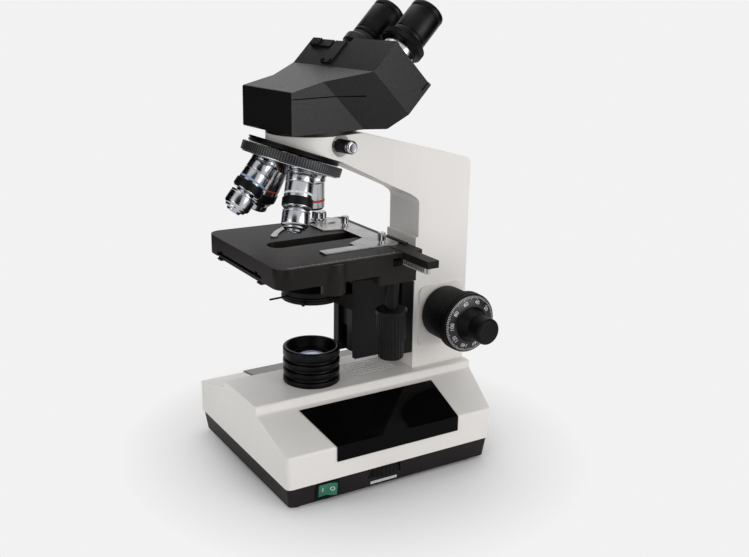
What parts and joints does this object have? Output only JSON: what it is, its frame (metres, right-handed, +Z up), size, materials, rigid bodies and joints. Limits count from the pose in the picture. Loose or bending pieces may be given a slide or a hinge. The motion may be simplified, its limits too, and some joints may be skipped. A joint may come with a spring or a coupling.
{
  "type": "binocular microscope",
  "caption": "Upright binocular microscope with a sloping base, a swan-necked arm, a revolving nosepiece, a mechanical stage and coaxial focus knobs",
  "frame": {"origin": "where the optical axis meets the bench under the feet", "axes": "+Z up along the optical axis, +X towards the arm, +Y towards the side away from the switch"},
  "size_m": [0.2134, 0.1834, 0.3675],
  "materials": {
    "white_enamel": "satin",
    "black_enamel": "satin",
    "black_gloss": "gloss",
    "black_metal": "semi-matt anodised",
    "black_plastic": "fine grain",
    "green_plastic": "lit, glossy",
    "rubber": "matt",
    "chrome": "polished",
    "steel": "turned",
    "brass": "turned",
    "glass": "polished",
    "copper_core": "laminated",
    "board": "circuit board",
    "ceramic": "glazed"
  },
  "bodies": {
    "stand": {"base_casing": "white_enamel", "base_pan": "black_enamel", "feet": "rubber", "side_panels": "black_gloss", "switch_housing": "black_plastic", "dimmer_board": "board", "transformer": "copper_core", "power_inlet": "black_plastic", "lamp_house": "black_metal", "field_lens": "glass", "collector_lens": "glass", "lamp_socket": "ceramic", "halogen_lamp": "glass", "arm": "white_enamel", "nosepiece_ring": "black_metal", "turret_pivot": "steel", "focus_guide": "black_metal"},
    "power rocker": {"switch_rocker": "green_plastic"},
    "brightness wheel": {"brightness_wheel": "black_plastic"},
    "head clamp": {"head_clamp_screw": "chrome"},
    "nosepiece": {"turret": "chrome", "objective_4x": "chrome", "objective_10x": "chrome", "objective_40x": "chrome", "objective_100x": "chrome"},
    "sprung nose 40x": {"spring_nose_40x": "chrome"},
    "sprung nose 100x": {"spring_nose_100x": "chrome"},
    "stage lift": {"stage_carrier": "black_metal", "focus_rack": "brass", "stage_under_plate": "black_metal"},
    "coarse drive": {"coarse_shaft": "steel", "coarse_knobs": "black_plastic", "dial_rings": "black_metal"},
    "fine drive": {"fine_spindle": "steel", "fine_knobs": "black_plastic"},
    "stage table": {"stage_plate": "black_enamel"},
    "upper knob": {"upper_stage_knob": "black_metal"},
    "slide carriage": {"cross_bar": "black_metal", "cross_bar_rack": "steel", "slide_holder": "steel", "holder_screws": "chrome"},
    "lower knob": {"lower_stage_knob": "black_metal"},
    "slide finger": {"spring_finger": "steel", "finger_knob": "chrome"},
    "condenser": {"condenser_holder": "black_metal", "condenser_body": "black_metal", "condenser_lens": "glass", "condenser_screw": "black_metal"},
    "condenser drive": {"condenser_knob": "black_plastic"},
    "iris ring": {"iris_lever": "black_metal"},
    "head": {"head_housing": "black_enamel", "head_guide": "black_enamel", "strap_plate": "black_enamel"},
    "near eye tube": {"eye_slide_near": "black_enamel"},
    "far eye tube": {"eye_slide_far": "black_enamel"},
    "dioptre": {"dioptre_ring": "black_metal"},
    "near eyepiece": {"eyepiece_near": "black_metal", "eye_lens_near": "glass"},
    "far eyepiece": {"eyepiece_far": "black_metal", "eye_lens_far": "glass"}
  },
  "joints": [
    {"name": "rock_power_switch", "type": "hinge", "parent": "stand", "child": "power rocker", "pos_m": [-0.0305, -0.0813, 0.0115], "axis": [0, -0.1398, 0.9902], "range_deg": [0, 17]},
    {"name": "turn_brightness", "type": "hinge", "parent": "stand", "child": "brightness wheel", "pos_m": [0.0208, -0.06148, 0.015], "axis": [0, 0, 1], "range_deg": [-135, 135]},
    {"name": "turn_head_clamp", "type": "hinge", "parent": "stand", "child": "head clamp", "pos_m": [0.00763, -0.03927, 0.2632], "axis": [0.1908, -0.9816, 0], "range_deg": [0, 540]},
    {"name": "turn_nosepiece", "type": "hinge", "parent": "stand", "child": "nosepiece", "pos_m": [-0.01644, 0, 0.25158], "axis": [-0.3289, 0, -0.9444], "continuous": true},
    {"name": "press_nose_40x", "type": "slide", "parent": "nosepiece", "child": "sprung nose 40x", "axis": [0.6211, 0, 0.7837], "range_m": [0, 0.0018], "stiffness_N_per_m": 1500, "springref_m": -0.0015},
    {"name": "press_nose_100x", "type": "slide", "parent": "nosepiece", "child": "sprung nose 100x", "axis": [0.3106, 0.3289, 0.8918], "range_m": [0, 0.0018], "stiffness_N_per_m": 1500, "springref_m": -0.0015},
    {"name": "lift_stage", "type": "slide", "parent": "stand", "child": "stage lift", "axis": [0, 0, 1], "range_m": [-0.015, 0.0052]},
    {"name": "turn_coarse_focus", "type": "hinge", "parent": "stand", "child": "coarse drive", "pos_m": [0.1135, 0, 0.1134], "axis": [0, 1, 0], "range_deg": [-136, 52]},
    {"name": "turn_fine_focus", "type": "hinge", "parent": "stand", "child": "fine drive", "pos_m": [0.1135, 0, 0.1134], "axis": [0, 1, 0], "range_deg": [-1620, 1620]},
    {"name": "move_stage_x", "type": "slide", "parent": "stage lift", "child": "stage table", "axis": [1, 0, 0], "range_m": [-0.026, 0.018]},
    {"name": "turn_upper_knob", "type": "hinge", "parent": "stage table", "child": "upper knob", "pos_m": [0.038, -0.06, 0.15], "axis": [0, 0, 1], "range_deg": [-345, 240]},
    {"name": "move_slide_y", "type": "slide", "parent": "stage table", "child": "slide carriage", "axis": [0, 1, 0], "range_m": [-0.034, 0.03]},
    {"name": "turn_lower_knob", "type": "hinge", "parent": "stage table", "child": "lower knob", "pos_m": [0.038, -0.06, 0.11], "axis": [0, 0, 1], "range_deg": [-330, 290]},
    {"name": "swing_slide_finger", "type": "hinge", "parent": "slide carriage", "child": "slide finger", "pos_m": [0.037, 0.054, 0.184], "axis": [0, 0, 1], "range_deg": [-24, 2]},
    {"name": "move_condenser", "type": "slide", "parent": "stage lift", "child": "condenser", "axis": [0, 0, 1], "range_m": [-0.014, 0.005]},
    {"name": "turn_condenser_knob", "type": "hinge", "parent": "stage lift", "child": "condenser drive", "pos_m": [0.05, 0.025, 0.118], "axis": [0, 1, 0], "range_deg": [-130, 46]},
    {"name": "swing_iris_lever", "type": "hinge", "parent": "condenser", "child": "iris ring", "pos_m": [0, 0, 0.141], "axis": [0, 0, 1], "range_deg": [-35, 50]},
    {"name": "turn_head", "type": "hinge", "parent": "stand", "child": "head", "pos_m": [0, 0, 0.27], "axis": [0, 0, 1], "continuous": true},
    {"name": "spread_near_eye", "type": "slide", "parent": "head", "child": "near eye tube", "axis": [0.0872, -0.9962, 0], "range_m": [0, 0.0137]},
    {"name": "spread_far_eye", "type": "slide", "parent": "head", "child": "far eye tube", "axis": [-0.0872, 0.9962, 0], "range_m": [0, 0.0137]},
    {"name": "turn_dioptre", "type": "hinge", "parent": "near eye tube", "child": "dioptre", "pos_m": [0.05868, -0.01871, 0.32161], "axis": [0.7044, 0.0616, 0.7071], "range_deg": [-150, 150]},
    {"name": "lift_near_eyepiece", "type": "slide", "parent": "near eye tube", "child": "near eyepiece", "axis": [0.7044, 0.0616, 0.7071], "range_m": [0, 0.05]},
    {"name": "lift_far_eyepiece", "type": "slide", "parent": "far eye tube", "child": "far eyepiece", "axis": [0.7044, 0.0616, 0.7071], "range_m": [0, 0.05]}
  ],
  "couplings": [
    {"joint": "turn_coarse_focus", "follows": "lift_stage", "rad_per_m": 156.25},
    {"joint": "turn_upper_knob", "follows": "move_stage_x", "rad_per_m": 227.27},
    {"joint": "turn_lower_knob", "follows": "move_slide_y", "rad_per_m": 166.67},
    {"joint": "turn_condenser_knob", "follows": "move_condenser", "rad_per_m": 156.25},
    {"joint": "spread_far_eye", "follows": "spread_near_eye", "ratio": 1}
  ]
}
